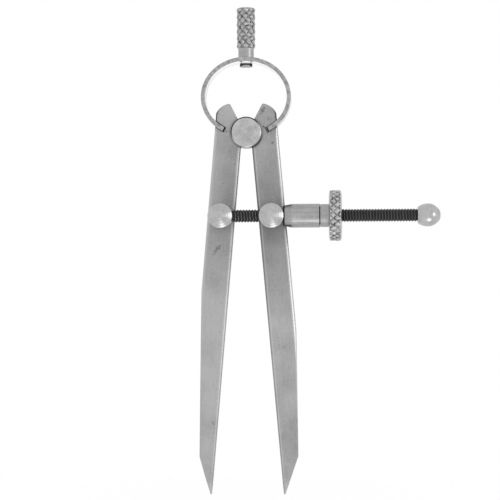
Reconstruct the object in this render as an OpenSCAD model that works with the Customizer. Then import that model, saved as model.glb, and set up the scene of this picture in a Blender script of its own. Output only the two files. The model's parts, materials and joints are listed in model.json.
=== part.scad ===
// Spring divider for marking out jewellery. Two flat steel legs turn on a
// fulcrum spool, a round bow spring presses on their heads to open them, and
// a nut on a threaded screw sets how far apart the points stand.
// The front view is drawn in the XY plane around the fulcrum axis, with the
// viewer on +Z, and place() stands it up: +Z along the handle, -Y to the front.

/* [Legs] */
// Distance from the fulcrum axis to the points
leg_len = 100; // [85:1:130]
// Width of a leg
leg_w = 7.5; // [6.6:0.1:9]
// Thickness of a leg
leg_t = 3; // [2:0.1:4]
// Distance from the fulcrum axis to a leg's inner edge
leg_gap = 1.2; // [0.8:0.05:1.6]
// Lean of each leg from the upright, as stored
rest_angle = 5; // [1:0.25:12]
// Width of the bevels along a leg's edges
bevel_w = 0.7; // [0.3:0.05:1]
// Depth of those bevels
bevel_d = 0.5; // [0.2:0.05:0.9]
// Length of the taper above the left leg's point, which is ground by hand
left_taper_len = 45; // [20:0.1:45]
// Length of the taper above the right leg's point
right_taper_len = 34.4; // [20:0.1:45]
// Length of the ground point
point_len = 10.1; // [8:0.1:16]
// Width of the left leg where its point begins
left_point_w = 4.2; // [3.5:0.1:6]
// Width of the right leg where its point begins
right_point_w = 4.9; // [3.5:0.1:6]
// Length over which the point is thinned, front and back
thin_len = 4; // [2:0.5:8]
// Width of the point's end
tip_w = 0.4; // [0.2:0.05:0.8]
// Thickness of the point's end
tip_t = 0.5; // [0.3:0.05:1]
// Radius of a head's round top
head_r = 5; // [4.5:0.1:6]
// How far that round would reach past the leg's outer edge
head_over = 0.4; // [0.2:0.05:1]
// Height of the round's middle above the fulcrum axis
head_rise = 2.7; // [2.4:0.1:3.5]
// Angle between a head's inner edge and its leg
head_angle = 32.5; // [25:0.5:40]
// Distance from the fulcrum axis to a head's inner edge
head_gap = 0.28; // [0.2:0.02:0.6]

/* [Fulcrum] */
// Diameter of the spool's discs
disc_d = 8.5; // [7.5:0.1:10]
// Thickness of the spool's discs
disc_t = 1.7; // [1:0.1:2.5]
// Bevel on the discs' outer rims
disc_bevel = 0.2; // [0.1:0.05:0.5]
// Diameter of the spool's pin, which the legs turn on
pin_d = 4.5; // [4:0.1:5.5]
// Diameter of the pin's end, which is riveted into the back disc
pin_end_d = 3; // [2:0.1:3.6]
// How far the riveted ends of the pin and the posts are spread
rivet_flare = 0.4; // [0.2:0.05:0.5]

/* [Bow spring] */
// Outer width of the bow
bow_w = 24.8; // [23:0.1:30]
// Outer height of the oval that the bow follows
bow_h = 22; // [20:0.1:28]
// Thickness of the bow's strip
bow_t = 1.15; // [0.8:0.05:1.5]
// Width of the bow's strip, front to back
strip_w = 6.5; // [4:0.1:9]
// Depth of the slot in each leg that holds an end of the bow
slot_depth = 2.5; // [1.5:0.1:3]
// Height of the bow's ends above the fulcrum axis
slot_rise = 0.85; // [0.3:0.05:1.5]

/* [Handle] */
// Diameter of the knurled grip, over its crests
grip_d = 5.2; // [4.8:0.1:8]
// Length of the grip
grip_len = 11.2; // [8:0.1:30]
// Bevel at the grip's ends
grip_bevel = 0.35; // [0.1:0.05:0.6]
// Diameter of the neck below the grip
neck_d = 4.3; // [3.8:0.1:4.8]
// Length of the neck
neck_len = 2.65; // [1.5:0.05:6]
// Diameter of the tenon through the bow
tenon_d = 3.5; // [2.5:0.1:3.7]
// How far the tenon stands out inside the bow
tenon_stub = 1.4; // [0.3:0.1:1.5]

/* [Posts] */
// Distance from the fulcrum axis to the posts, along a leg
post_drop = 23.7; // [20:0.1:40]
// Diameter of a post
post_d = 6.7; // [6.2:0.1:7.4]
// Height of a post's domed front
dome_h = 1.2; // [0.5:0.1:2]
// Diameter of the small flat at the dome's crown
crown_d = 0.6; // [0.3:0.1:1.5]
// Straight rim between a post's cross hole seat and its dome
rim_h = 0.5; // [0.2:0.1:1]
// Diameter of the shank that turns in the leg
shank_d = 4; // [3:0.1:4.6]
// Depth of the flat seat around a post's cross hole
seat_depth = 0.2; // [0.1:0.05:0.4]
// Diameter of the washers behind the legs
washer_d = 6.4; // [5.8:0.1:7.4]
// Thickness of those washers
washer_t = 0.8; // [0.6:0.1:1.5]

/* [Screw] */
// Diameter of the screw over its thread
screw_d = 3.5; // [3.3:0.1:4]
// Length of the thread, from the left post's seat to the ball
screw_len = 50.6; // [46:0.2:80]
// Diameter of the screw's plain ends
screw_end_d = 2.8; // [2:0.1:3.2]
// How far the screw's end runs past the middle of the left post
screw_bite = 1.2; // [0.5:0.1:2]
// Diameter of the ball
ball_d = 6.3; // [5:0.1:9]
// Length of the ball
ball_len = 6.2; // [5:0.1:9]
// Distance from the ball's face to where it is widest
ball_mid = 3; // [2:0.1:4]
// Diameter of the ball's face towards the nut
ball_face_d = 4.7; // [3.8:0.1:4.9]
// Diameter of the small flat at the ball's free end
ball_flat_d = 1.2; // [0.5:0.1:2]
// How far the screw's end runs into the ball
ball_bite = 4; // [2:0.1:4.5]

/* [Nut and sleeve] */
// Diameter of the sleeve between the right post and the nut
sleeve_d = 6.5; // [6:0.1:6.6]
// Length of the sleeve
sleeve_len = 10; // [8:0.1:12]
// Diameter of the sleeve's nose where it meets the post
nose_d = 5.5; // [4.6:0.1:5.6]
// Length of the sleeve's tapered nose
nose_len = 2.4; // [1:0.1:3]
// Diameter of the nut's spigot, which turns inside the sleeve
spigot_d = 5; // [4.6:0.1:5.4]
// Length of that spigot
spigot_len = 6; // [3:0.1:7]
// Diameter of the nut's hub
hub_d = 6.3; // [6:0.1:7.4]
// Length of the nut's hub
hub_len = 2.25; // [1:0.05:4]
// Diameter of the knurled wheel
wheel_d = 14; // [10:0.1:18]
// Width of the knurled wheel
wheel_w = 3.6; // [2:0.1:6]
// Bevel on the wheel's rims
wheel_bevel = 0.5; // [0.2:0.05:0.8]

/* [Clearances] */
// Gap between pieces that turn on each other
run_clear = 0.05; // [0.02:0.01:0.1]
// Gap around pieces that are pressed or riveted together
fit_clear = 0.02; // [0.01:0.01:0.05]
// Gap around the bow's ends in their slots
slot_clear = 0.06; // [0.04:0.01:0.15]
// Gap between the nut's hub and the front of the leg behind it
leg_clear = 0.25; // [0.1:0.05:1]
// Gap between the sleeve and the nut's hub
nut_gap = 0.2; // [0.1:0.05:0.5]

/* [Hidden] */
$fn = 64;
steel = [0.61, 0.61, 0.6];
bright_steel = [0.7, 0.7, 0.69];
black_steel = [0.16, 0.16, 0.16];

leg_face = leg_t / 2;
leg_outer = leg_gap + leg_w;
point_start = leg_len - point_len;
// A point that lies a distance up along the inner edge of a head
function head_edge(up) = [
  head_gap * cos(head_angle) + up * sin(head_angle),
  up * cos(head_angle) - head_gap * sin(head_angle)
];
head_corner = (leg_gap - head_gap * cos(head_angle)) / sin(head_angle);
past_head = 1.5 * (head_rise + head_r);
function leg_outline(taper_len, point_w) = [
  [leg_gap, -leg_len],
  [leg_gap + tip_w, -leg_len],
  [leg_gap + point_w, -point_start],
  [leg_outer, taper_len - point_start],
  [leg_outer, past_head],
  head_edge(past_head),
  head_edge(head_corner)
];
leg_side = [
  [-leg_face, past_head],
  [-leg_face, thin_len - leg_len],
  [-tip_t / 2, -leg_len],
  [tip_t / 2, -leg_len],
  [leg_face, thin_len - leg_len],
  [leg_face, past_head]
];

// The middle of the strip follows an oval, by the angle around its centre
bow_a = (bow_w - bow_t) / 2;
bow_b = (bow_h - bow_t) / 2;
bow_end = acos((leg_outer - slot_depth) / bow_a);
bow_mid_y = slot_rise + bow_b * sin(bow_end);
bow_top = bow_mid_y + bow_b + bow_t / 2;
bow_steps = 120;
// Arc of the oval that a slot is cut along, long enough to leave the head
slot_run = 35;
slot_steps = 30;
slot_over = slot_clear / norm([bow_a * sin(bow_end), bow_b * cos(bow_end)]) * 180 / PI;
function bow_out(t) = [bow_b * cos(t), bow_a * sin(t)] / norm([bow_b * cos(t), bow_a * sin(t)]);
function bow_edge(t, h) = [bow_a * cos(t), bow_mid_y + bow_b * sin(t)] + h * bow_out(t);
function between(a, b, steps) = [for (i = [0:steps]) a + (b - a) * i / steps];

fulcrum_z = -(grip_len / 2 + neck_len + bow_top);
spool_face = leg_face + run_clear;
disc_front = spool_face + disc_t;

post_u = leg_gap + leg_w / 2;
post_x = post_u * cos(rest_angle) + post_drop * sin(rest_angle);
post_y = post_u * sin(rest_angle) - post_drop * cos(rest_angle);
screw_off = leg_face + leg_clear + max(hub_d, sleeve_d) / 2;
dome_base = screw_off + nose_d / 2 + rim_h;
dome_r = (pow(post_d / 2, 2) + dome_h * dome_h) / (2 * dome_h);
dome_angle = asin(post_d / 2 / dome_r);
crown_angle = asin(crown_d / 2 / dome_r);
dome_steps = 8;
washer_back = spool_face + washer_t;
seat_x = post_d / 2 - seat_depth;
// How far a cut runs out past the face that it opens
past = 1;

ball_steps = 12;
nut_x = post_x + seat_x + sleeve_len + nut_gap;
spigot_room = spigot_len - nut_gap + run_clear;

// Stands the front view upright, with the middle of the grip at the origin
module place() {
  translate([0, 0, fulcrum_z])
    rotate([90, 0, 0])
      children();
}

// Moves to the post on one side of the fulcrum
module at_post(side) {
  translate([side * post_x, post_y, 0])
    children();
}

// Lays a piece that was built upright along the screw's axis
module along_screw() {
  translate([0, post_y, screw_off])
    rotate([0, 90, 0])
      children();
}

// A stretch of the bow's strip, by its half thickness and its end angles
module bow_band(h, from, to, steps) {
  angles = between(from, to, steps);
  polygon(concat(
    [for (t = angles) bow_edge(t, h)],
    [for (i = [steps:-1:0]) bow_edge(angles[i], -h)]
  ));
}

module bow_solid() {
  linear_extrude(strip_w, center = true)
    bow_band(bow_t / 2, -bow_end, 180 + bow_end, bow_steps);
}

module bow_slot() {
  linear_extrude(strip_w, center = true)
    bow_band(bow_t / 2 + slot_clear, -bow_end - slot_over, slot_run - bow_end, slot_steps);
}

// A rivet's shank with its closed end spread into a countersink at the back
module rivet(d, back, front) {
  translate([0, 0, back])
    cylinder(h = front - back, d = d);
  translate([0, 0, back])
    cylinder(h = rivet_flare, d1 = d + 2 * rivet_flare, d2 = d);
}

// The room that such a rivet needs in the piece it holds
module rivet_room(d, back, front) {
  rivet(d + 2 * fit_clear, back, front + past);
  translate([0, 0, back - past])
    cylinder(h = past, d = d + 2 * rivet_flare + 2 * fit_clear);
}

// Corner cut that bevels an edge, seen along the edge
module bevel_cut() {
  linear_extrude(leg_len)
    polygon([[2 * bevel_w, bevel_d], [-bevel_w, bevel_d], [-bevel_w, -2 * bevel_d]]);
}

// Bevels on the front and back of a leg's inner and outer edges
module leg_bevels() {
  for (face = [0, 1])
    mirror([0, 0, face])
      translate([0, 0, leg_face])
        rotate([90, 0, 0]) {
          translate([leg_gap, 0, 0])
            bevel_cut();
          translate([leg_outer, 0, 0])
            mirror([1, 0, 0])
              bevel_cut();
        }
}

// Everything below the middle of the head's round, and the round above it
module head_limit() {
  translate([leg_outer + head_over - head_r, head_rise, 0])
    cylinder(h = 2 * leg_t, r = head_r, center = true);
  translate([0, -2 * leg_len, -leg_t])
    cube([2 * leg_outer, 2 * leg_len + head_rise, 2 * leg_t]);
}

// The right leg, upright, before its slot is cut
module leg_bar(taper_len, point_w) {
  difference() {
    intersection() {
      linear_extrude(leg_t, center = true)
        polygon(leg_outline(taper_len, point_w));
      rotate([0, 90, 0])
        linear_extrude(2 * leg_outer)
          polygon(leg_side);
      head_limit();
    }
    leg_bevels();
    cylinder(h = 2 * leg_t, d = pin_d + 2 * run_clear, center = true);
    translate([post_u, -post_drop, 0])
      cylinder(h = 2 * leg_t, d = shank_d + 2 * run_clear, center = true);
  }
}

module leg(taper_len, point_w) {
  difference() {
    rotate([0, 0, rest_angle])
      leg_bar(taper_len, point_w);
    bow_slot();
  }
}

module left_leg() {
  color(steel)
    place()
      mirror([1, 0, 0])
        leg(left_taper_len, left_point_w);
}

module right_leg() {
  color(steel)
    place()
      leg(right_taper_len, right_point_w);
}

// One disc of the spool, from its inner face out
module spool_disc() {
  cylinder(h = disc_t - disc_bevel, d = disc_d);
  translate([0, 0, disc_t - disc_bevel])
    cylinder(h = disc_bevel, d1 = disc_d, d2 = disc_d - 2 * disc_bevel);
}

// Front disc and pin in one piece, riveted through the back disc
module fulcrum_stud() {
  color(bright_steel)
    place() {
      translate([0, 0, spool_face])
        spool_disc();
      translate([0, 0, -spool_face])
        cylinder(h = 2 * spool_face, d = pin_d);
      rivet(pin_end_d, -disc_front, -spool_face);
    }
}

module fulcrum_disc() {
  color(bright_steel)
    place()
      difference() {
        mirror([0, 0, 1])
          translate([0, 0, spool_face])
            spool_disc();
        rivet_room(pin_end_d, -disc_front, -spool_face);
      }
}

module bow_spring() {
  color(steel)
    place()
      difference() {
        bow_solid();
        translate([0, bow_mid_y, 0])
          rotate([-90, 0, 0])
            cylinder(h = 2 * bow_b, d = tenon_d + 2 * fit_clear);
      }
}

// Grip, neck and the tenon that holds the handle in the bow
module handle() {
  color(steel)
    rotate_extrude()
      polygon([
        [0, -grip_len / 2],
        [grip_d / 2 - grip_bevel, -grip_len / 2],
        [grip_d / 2, grip_bevel - grip_len / 2],
        [grip_d / 2, grip_len / 2 - grip_bevel],
        [grip_d / 2 - grip_bevel, grip_len / 2],
        [0, grip_len / 2]
      ]);
  color(steel)
    place() {
      difference() {
        translate([0, bow_top + neck_len, 0])
          rotate([90, 0, 0])
            cylinder(h = neck_len + bow_t / 2, d = neck_d);
        bow_solid();
      }
      translate([0, bow_top + neck_len, 0])
        rotate([90, 0, 0])
          cylinder(h = neck_len + bow_t + tenon_stub, d = tenon_d);
    }
}

// Shank, barrel and domed front of a post, upright on its own axis, with the
// start of its round surface a quarter turn away from the cross hole
module post_blank() {
  rivet(shank_d, -washer_back, spool_face);
  rotate([0, 0, 90])
    rotate_extrude()
      polygon(concat(
        [[0, spool_face], [post_d / 2, spool_face]],
        [for (a = between(dome_angle, crown_angle, dome_steps)) [
          dome_r * sin(a),
          dome_base + dome_h - dome_r * (1 - cos(a))
        ]],
        [[0, dome_base + dome_h - dome_r * (1 - cos(crown_angle))]]
      ));
}

// Round cut along the screw's axis, out through the right side of a post
module cross_cut(d, from) {
  translate([from, 0, screw_off])
    rotate([0, 90, 0])
      cylinder(h = 2 * post_d, d = d);
}

// The left post grips the end of the screw
module left_post() {
  color(bright_steel)
    place()
      at_post(-1)
        difference() {
          post_blank();
          cross_cut(screw_end_d + 2 * fit_clear, -screw_bite);
          cross_cut(screw_d + 2 * fit_clear, seat_x);
        }
}

// The screw slides through the right post, and the sleeve seats on it
module right_post() {
  color(bright_steel)
    place()
      at_post(1)
        difference() {
          post_blank();
          cross_cut(screw_d + 2 * run_clear, -post_d);
          cross_cut(nose_d + 2 * fit_clear, seat_x);
        }
}

module post_washer() {
  difference() {
    translate([0, 0, -washer_back])
      cylinder(h = washer_t, d = washer_d);
    rivet_room(shank_d, -washer_back, -spool_face);
  }
}

module left_washer() {
  color(steel)
    place()
      at_post(-1)
        post_washer();
}

module right_washer() {
  color(steel)
    place()
      at_post(1)
        post_washer();
}

// The thread is drawn as a plain cylinder over its crests
module adjusting_screw() {
  color(black_steel)
    place()
      along_screw()
        translate([0, 0, seat_x - post_x]) {
          cylinder(h = screw_len, d = screw_d);
          translate([0, 0, fit_clear - seat_x - screw_bite])
            cylinder(h = seat_x + screw_bite, d = screw_end_d);
          translate([0, 0, screw_len])
            cylinder(h = ball_bite, d = screw_end_d);
        }
}

// A ball with a flat face towards the nut and rounded off at its free end
module stop_ball() {
  to_widest = between(0, 90, ball_steps);
  to_end = between(90, 0, ball_steps);
  face = ball_face_d / 2;
  flat = ball_flat_d / 2;
  color(bright_steel)
    place()
      along_screw()
        translate([0, 0, seat_x - post_x + screw_len])
          difference() {
            rotate_extrude()
              polygon(concat(
                [[0, 0]],
                [for (a = to_widest) [
                  face + (ball_d / 2 - face) * sin(a),
                  ball_mid * (1 - cos(a))
                ]],
                [for (a = to_end) if (a < 90) [
                  flat + (ball_d / 2 - flat) * sin(a),
                  ball_mid + (ball_len - ball_mid) * cos(a)
                ]],
                [[0, ball_len]]
              ));
            translate([0, 0, -past])
              cylinder(h = ball_bite + fit_clear + past, d = screw_end_d + 2 * fit_clear);
          }
}

// Tube with a tapered nose that seats on the right post
module nut_sleeve() {
  color(bright_steel)
    place()
      along_screw()
        translate([0, 0, post_x + seat_x])
          difference() {
            union() {
              cylinder(h = nose_len, d1 = nose_d, d2 = sleeve_d);
              translate([0, 0, nose_len])
                cylinder(h = sleeve_len - nose_len, d = sleeve_d);
            }
            translate([0, 0, -past])
              cylinder(h = sleeve_len, d = screw_d + 2 * run_clear);
            translate([0, 0, sleeve_len - spigot_room])
              cylinder(h = spigot_room + past, d = spigot_d + 2 * run_clear);
          }
}

// Knurled wheel and hub, with a spigot that turns inside the sleeve
module adjusting_nut() {
  color(bright_steel)
    place()
      along_screw()
        translate([0, 0, nut_x])
          difference() {
            union() {
              translate([0, 0, -spigot_len])
                cylinder(h = spigot_len, d = spigot_d);
              cylinder(h = hub_len, d = hub_d);
              translate([0, 0, hub_len])
                rotate_extrude()
                  polygon([
                    [0, 0],
                    [wheel_d / 2 - wheel_bevel, 0],
                    [wheel_d / 2, wheel_bevel],
                    [wheel_d / 2, wheel_w - wheel_bevel],
                    [wheel_d / 2 - wheel_bevel, wheel_w],
                    [0, wheel_w]
                  ]);
            }
            translate([0, 0, -spigot_len - past])
              cylinder(
                h = spigot_len + hub_len + wheel_w + 2 * past,
                d = screw_d + 2 * run_clear
              );
          }
}

left_leg();
right_leg();
fulcrum_stud();
fulcrum_disc();
bow_spring();
handle();
left_post();
left_washer();
right_post();
right_washer();
adjusting_screw();
stop_ball();
nut_sleeve();
adjusting_nut();
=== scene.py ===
import json

import bmesh
import bpy
import numpy as np
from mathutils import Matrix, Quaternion, Vector
from mathutils.geometry import delaunay_2d_cdt


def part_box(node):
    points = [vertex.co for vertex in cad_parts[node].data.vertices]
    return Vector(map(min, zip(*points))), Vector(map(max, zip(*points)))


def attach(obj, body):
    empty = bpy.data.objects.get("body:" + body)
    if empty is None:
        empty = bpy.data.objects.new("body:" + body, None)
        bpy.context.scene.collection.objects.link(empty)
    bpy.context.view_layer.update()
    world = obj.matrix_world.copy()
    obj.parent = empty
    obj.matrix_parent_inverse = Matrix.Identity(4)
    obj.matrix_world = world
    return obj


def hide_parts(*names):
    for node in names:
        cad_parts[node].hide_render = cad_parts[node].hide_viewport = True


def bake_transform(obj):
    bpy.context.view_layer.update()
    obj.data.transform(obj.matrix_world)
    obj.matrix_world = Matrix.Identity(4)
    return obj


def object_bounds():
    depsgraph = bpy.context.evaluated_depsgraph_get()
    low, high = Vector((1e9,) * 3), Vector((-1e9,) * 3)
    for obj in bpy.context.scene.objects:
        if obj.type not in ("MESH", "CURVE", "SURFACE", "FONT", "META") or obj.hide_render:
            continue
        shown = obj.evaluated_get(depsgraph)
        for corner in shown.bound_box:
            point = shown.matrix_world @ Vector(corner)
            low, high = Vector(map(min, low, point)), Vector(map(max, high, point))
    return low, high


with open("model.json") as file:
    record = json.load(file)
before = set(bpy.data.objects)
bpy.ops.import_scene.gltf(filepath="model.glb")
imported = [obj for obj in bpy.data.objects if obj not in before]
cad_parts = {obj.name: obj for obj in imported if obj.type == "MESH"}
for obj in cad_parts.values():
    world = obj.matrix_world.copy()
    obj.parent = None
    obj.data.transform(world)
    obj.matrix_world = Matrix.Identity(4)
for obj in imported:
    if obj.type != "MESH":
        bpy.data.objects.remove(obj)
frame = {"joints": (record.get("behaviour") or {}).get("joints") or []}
cad_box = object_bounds()

# Fulcrum spool. The front disc and the pin are turned from one bar of bright steel, and the
# pin's back end is riveted into the loose back disc. The legs turn between the two discs.
mm = 0.001
joints = {joint["name"]: joint for joint in frame["joints"]}
fulcrum = np.array(joints["left_leg_turn"]["pos_m"]) / mm
to_front = np.array((0.0, -1.0, 0.0))


def box_mm(node):
    """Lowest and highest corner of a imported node, in millimetres."""
    low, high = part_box(node)
    return np.array(low) / mm, np.array(high) / mm


def eased(corners, ease, steps=5):
    """A line through corners with the inner ones rounded: corner c becomes the curve
    (1 - t)^2 a + 2 t (1 - t) c + t^2 b, where a and b lie `ease` from c on its two sides."""
    corners = np.array(corners, float)
    ease = np.broadcast_to(np.array(ease, float), len(corners) - 2)[:, None]
    middle = corners[1:-1]
    before, after = corners[:-2] - middle, corners[2:] - middle
    a = middle + ease * before / np.linalg.norm(before, axis=1, keepdims=True)
    b = middle + ease * after / np.linalg.norm(after, axis=1, keepdims=True)
    t = np.linspace(0, 1, steps)[:, None]
    curves = (1 - t) ** 2 * a[:, None] + 2 * t * (1 - t) * middle[:, None] + t ** 2 * b[:, None]
    return np.concatenate([corners[:1], curves.reshape(-1, 2), corners[-1:]])


def turned(along, radius, centre, axis, steps=96):
    """A turned surface: the profile point (along, radius) at turn a lies at
    centre + along * axis + radius * (cos a * side + sin a * (axis x side)).
    The radius may also change with the turn, as one column for each step."""
    axis = np.array(axis, float)
    side = np.array((0.0, 0.0, 1.0)) if abs(axis[2]) < 0.5 else np.array((1.0, 0.0, 0.0))
    turn = np.linspace(0, 2 * np.pi, steps, endpoint=False)[:, None]
    spoke = np.cos(turn) * side + np.sin(turn) * np.cross(axis, side)
    along = np.asarray(along, float)[:, None, None]
    radius = np.asarray(radius, float).reshape(len(along), -1, 1)
    return centre + along * axis + radius * spoke


def ring_faces(grid):
    """Four-sided faces between neighbouring points of a grid whose rows close into rings."""
    rows, columns = grid.shape[:2]
    index = np.arange(rows * columns).reshape(rows, columns)
    index = np.concatenate([index, index[:, :1]], axis=1)
    corners = [index[:-1, :-1], index[:-1, 1:], index[1:, 1:], index[1:, :-1]]
    return np.stack(corners, axis=-1).reshape(-1, 4).tolist()


def steel_piece(name, points, faces, marks=None, crisp=32.0):
    """A mesh from points in millimetres and faces. Doubles merge, which closes seams and
    poles, faces turn outwards, and edges sharper than `crisp` degrees stay sharp."""
    mesh = bpy.data.meshes.new(name)
    mesh.from_pydata((points.reshape(-1, 3) * mm).tolist(), [], faces)
    for mark, values in (marks or {}).items():
        mesh.attributes.new(mark, "FLOAT", "POINT").data.foreach_set("value", values.ravel())
    work = bmesh.new()
    work.from_mesh(mesh)
    bmesh.ops.remove_doubles(work, verts=work.verts, dist=1e-4 * mm)
    bmesh.ops.dissolve_degenerate(work, edges=work.edges, dist=1e-4 * mm)
    bmesh.ops.recalc_face_normals(work, faces=work.faces)
    work.to_mesh(mesh)
    work.free()
    mesh.polygons.foreach_set("use_smooth", np.ones(len(mesh.polygons), bool))
    mesh.set_sharp_from_angle(angle=np.radians(crisp))
    piece = bpy.data.objects.new(name, mesh)
    bpy.context.scene.collection.objects.link(piece)
    return piece


def lathe_piece(name, profile, centre, axis, steps=96):
    """A plain turned piece from a profile of (along, radius) points."""
    grid = turned(profile[:, 0], profile[:, 1], centre, axis, steps)
    return steel_piece(name, grid, ring_faces(grid))


class Value:
    """One socket of a finish's nodes. Arithmetic on it adds Math nodes."""

    def __init__(self, tree, socket=None):
        self.tree, self.socket = tree, socket

    def node(self, kind, settings=None, inputs=None, output=0):
        """Adds a node: its settings first, then the values or links of its sockets."""
        new = self.tree.nodes.new(kind)
        for key, setting in (settings or {}).items():
            setattr(new, key, setting)
        for key, given in (inputs or {}).items():
            if isinstance(given, Value):
                self.tree.links.new(given.socket, new.inputs[key])
            else:
                new.inputs[key].default_value = given
        return Value(self.tree, new.outputs[output] if new.outputs else None)

    def math(self, operation, *given):
        """A Math node on the given values."""
        return self.node("ShaderNodeMath", {"operation": operation}, dict(enumerate(given)))

    def vector(self, operation, *given, output=0):
        """A Vector Math node on the given vectors."""
        settings = {"operation": operation}
        return self.node("ShaderNodeVectorMath", settings, dict(enumerate(given)), output)

    def __add__(self, other): return self.math("ADD", self, other)
    def __radd__(self, other): return self.math("ADD", other, self)
    def __sub__(self, other): return self.math("SUBTRACT", self, other)
    def __rsub__(self, other): return self.math("SUBTRACT", other, self)
    def __mul__(self, other): return self.math("MULTIPLY", self, other)
    def __rmul__(self, other): return self.math("MULTIPLY", other, self)
    def __truediv__(self, other): return self.math("DIVIDE", self, other)

    def noise(self, place, size, detail=3.0, dimensions="3D"):
        """Soft noise over a place, with spots about `size` wide, around one half."""
        socket = "W" if dimensions == "1D" else "Vector"
        inputs = {socket: place, "Scale": 1 / size, "Detail": detail}
        return self.node("ShaderNodeTexNoise", {"noise_dimensions": dimensions}, inputs)

    def step(self, start, end):
        """Rises smoothly from 0 to 1 as the value goes from start to end."""
        inputs = {"Value": self, "From Min": start, "From Max": end}
        return self.node("ShaderNodeMapRange", {"interpolation_type": "SMOOTHSTEP"}, inputs)

    def blend(self, first, second):
        """The colour between two colours, by this value."""
        inputs = {0: self, 6: first, 7: second}
        return self.node("ShaderNodeMix", {"data_type": "RGBA"}, inputs, output=2)


def new_finish(name):
    """An empty material, and the values that its nodes start from."""
    material = bpy.data.materials.new(name)
    material.use_nodes = True
    material.node_tree.nodes.clear()
    nodes = Value(material.node_tree)
    return material, nodes, nodes.node("ShaderNodeTexCoord", output="Object")


def steel_surface(nodes, colour, rough, relief, depth):
    """Bare steel with this colour, roughness and relief, which is up to `depth` mm high."""
    bump = nodes.node("ShaderNodeBump", None, {"Height": relief, "Distance": depth * mm})
    inputs = {"Base Color": colour, "Metallic": 1.0, "Roughness": rough, "Normal": bump}
    shader = nodes.node("ShaderNodeBsdfPrincipled", None, inputs)
    nodes.node("ShaderNodeOutputMaterial", None, {"Surface": shader})


def grey(level):
    """A neutral colour of one level."""
    return (level, level, level, 1.0)


def turned_finish(name, centre, axis, level, rough, ring_depth, mottle=1.3, drawn=0.0, painted_shade=None):
    """Bright steel from the lathe, around one level of grey. Rings are one-dimensional noise
    over the distance from the axis plus the distance along it, so faces and sides both carry
    tool marks. `mottle` and `drawn` are the strengths of cloudy spots and of streaks along the
    axis, and the last argument gives where painted shade darkens the steel."""
    material, nodes, place = new_finish(name)
    off = nodes.vector("SUBTRACT", place, tuple(np.array(centre) * mm))
    along = nodes.vector("DOT_PRODUCT", off, tuple(axis), output="Value")
    across = nodes.vector("LENGTH", nodes.vector("CROSS_PRODUCT", off, tuple(axis)), output="Value")
    rings = nodes.noise(across + along, 0.16 * mm, 4.0, "1D")
    bands = nodes.noise(across - along, 0.9 * mm, 2.0, "1D")
    cloud = nodes.noise(place, 2.2 * mm, 4.0)
    fine = nodes.noise(place, 0.45 * mm, 3.0)
    streaks = nodes.noise(nodes.vector("MULTIPLY", off, tuple(1 - 0.95 * np.abs(axis))), 0.45 * mm, 3.0)
    tone = 0.5 + (cloud - 0.5) * mottle + (fine - 0.5) * 1.0 + (bands - 0.5) * 0.6 + (rings - 0.5) * 0.3
    tone = tone + (streaks - 0.5) * drawn
    colour = tone.blend(grey(level * 0.84), grey(level * 1.16))
    # Painted shade darkens the steel where the last argument says.
    if painted_shade:
        colour = painted_shade(nodes, off, along, across).blend(colour, grey(0.025))
    steel_surface(nodes, colour, rough + (cloud - 0.5) * 0.16, rings, ring_depth)
    return material


stud_low, stud_high = box_mm("fulcrum_stud")
disc_r, disc_front, spool_face = stud_high[0], -stud_low[1], 1.55
pin_r, pin_end_r, rivet_flare = 2.25, 1.5, 0.4
fit_gap, run_gap = 0.02, 0.05
stud_profile = eased([
    (disc_front, 0), (disc_front, disc_r), (spool_face, disc_r), (spool_face, pin_r),
    (-spool_face, pin_r), (-spool_face, pin_end_r), (rivet_flare - disc_front, pin_end_r),
    (-disc_front, pin_end_r + rivet_flare), (-disc_front, 0),
], [0.42, 0.15, 0, 0, 0, 0, 0.08])
back_hole = pin_end_r + fit_gap
back_profile = eased([
    (-spool_face, back_hole), (-spool_face, disc_r), (-disc_front, disc_r),
    (-disc_front, back_hole + rivet_flare), (rivet_flare - disc_front, back_hole),
    (-spool_face, back_hole),
], [0.15, 0.3, 0.05, 0])


def shaded_rim(nodes, off, along, across):
    """Painted shade on the rim of the front disc, from about nine o'clock over the top to two."""
    upward = nodes.vector("DOT_PRODUCT", off, (-0.42, 0.0, 0.91), output="Value")
    rim = across.step((disc_r - 0.46) * mm, (disc_r - 0.26) * mm)
    return rim * upward.step(-0.1 * disc_r * mm, 0.35 * disc_r * mm) * 0.95


spool_finish = turned_finish("spool_steel", fulcrum, to_front, 0.455, 0.3, 0.05, 3.2, painted_shade=shaded_rim)
for node, profile in (("fulcrum_stud", stud_profile), ("fulcrum_disc", back_profile)):
    piece = lathe_piece("spool_" + node, profile, fulcrum, to_front)
    piece.data.materials.append(spool_finish)
    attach(piece, "head")
    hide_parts(node)

# Legs. Each is ground from flat steel bar, with bevelled edges, a long taper, a thinned point,
# a round head notched for the pin, and a slot that the bow's end is sprung into.
leg_length, leg_width, leg_thick, leg_gap, rest_lean = 100.0, 7.5, 3.0, 1.2, 5.0
point_length, thin_length, tip_width, tip_thick = 10.1, 4.0, 0.4, 0.5
legs = {"left_leg": -1.0, "right_leg": 1.0}
tapers = {"left_leg": (45.0, 4.2), "right_leg": (34.4, 4.9)}
# Widths of the painted shade on the edge at each slot's end.
slot_shades = {"left_leg": 0.45, "right_leg": 1.0}
head_r, head_over, head_rise, head_ease = 5.0, 0.4, 2.7, 0.45
head_angle, head_gap, edge_turn = 32.5, 0.28, 56.0
bow_thick, bow_height, slot_depth, slot_gap = 1.15, 22.0, 2.5, 0.06
bow_low, bow_high = box_mm("bow_spring")
leg_outer = leg_gap + leg_width
notch_r, shank_hole_r, hole_steps, post_drop = pin_r + run_gap, 2.05, 48, 23.7
bow_half_width = bow_high[0] - bow_thick / 2
bow_top = bow_high[2] - fulcrum[2]
bow_half_height = (bow_height - bow_thick) / 2
bow_middle = bow_top - bow_thick / 2 - bow_half_height
bow_end = -np.degrees(np.arccos((leg_outer - slot_depth) / bow_half_width))


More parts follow.
